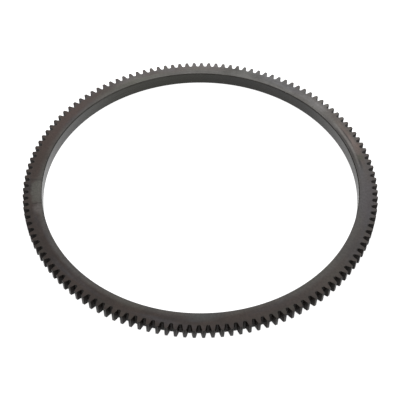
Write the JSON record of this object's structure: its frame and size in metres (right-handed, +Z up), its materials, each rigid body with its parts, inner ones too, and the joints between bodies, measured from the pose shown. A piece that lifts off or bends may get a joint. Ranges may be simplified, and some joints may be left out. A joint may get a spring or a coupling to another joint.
{
  "type": "flywheel ring gear",
  "caption": "Flat steel ring with straight involute starter teeth outside and a plain chamfered bore inside, for shrinking onto an engine's flywheel.",
  "frame": {"origin": "centre of the lower face, on the axis of the bore", "axes": "+Z up along the axis of the bore; a tooth space is centred on +X"},
  "size_m": [0.405, 0.405, 0.016],
  "materials": {
    "hardened_steel": "dark, thinly oiled, heat tinted by hardening of the teeth"
  },
  "bodies": {
    "root": {"ring_gear": "hardened_steel"}
  },
  "joints": []
}
